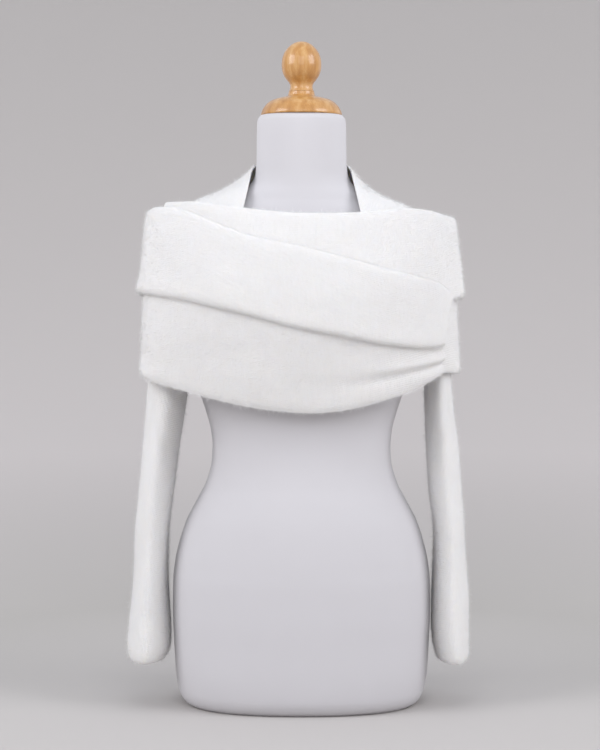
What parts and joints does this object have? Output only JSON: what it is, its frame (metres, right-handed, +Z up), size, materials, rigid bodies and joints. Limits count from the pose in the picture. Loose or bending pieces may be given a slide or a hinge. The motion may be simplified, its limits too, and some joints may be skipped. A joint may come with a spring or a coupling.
{
  "type": "wrap shrug on a limbless dress form",
  "caption": "White knitted off-shoulder wrap shrug with a deep folded collar, on a limbless dress form with a turned wooden neck cap and ball finial.",
  "frame": {"origin": "centre of the dress form's flat base, on the surface that it stands on", "axes": "+Z up through the neck to the finial, -Y out of the front, +X towards the wearer's left"},
  "size_m": [0.4565, 0.2624, 0.8834],
  "materials": {
    "knit": "soft brushed stockinette knit with a fine nap",
    "form_cover": "smooth stretched jersey cover",
    "wood": "varnished turned wood"
  },
  "bodies": {
    "root": {"back_yoke": "knit", "back_panel": "knit", "right_front": "knit", "left_front": "knit", "right_collar": "knit", "left_collar": "knit", "right_sleeve": "knit", "left_sleeve": "knit", "form_torso": "form_cover", "neck_cap": "wood", "finial": "wood"}
  },
  "joints": []
}
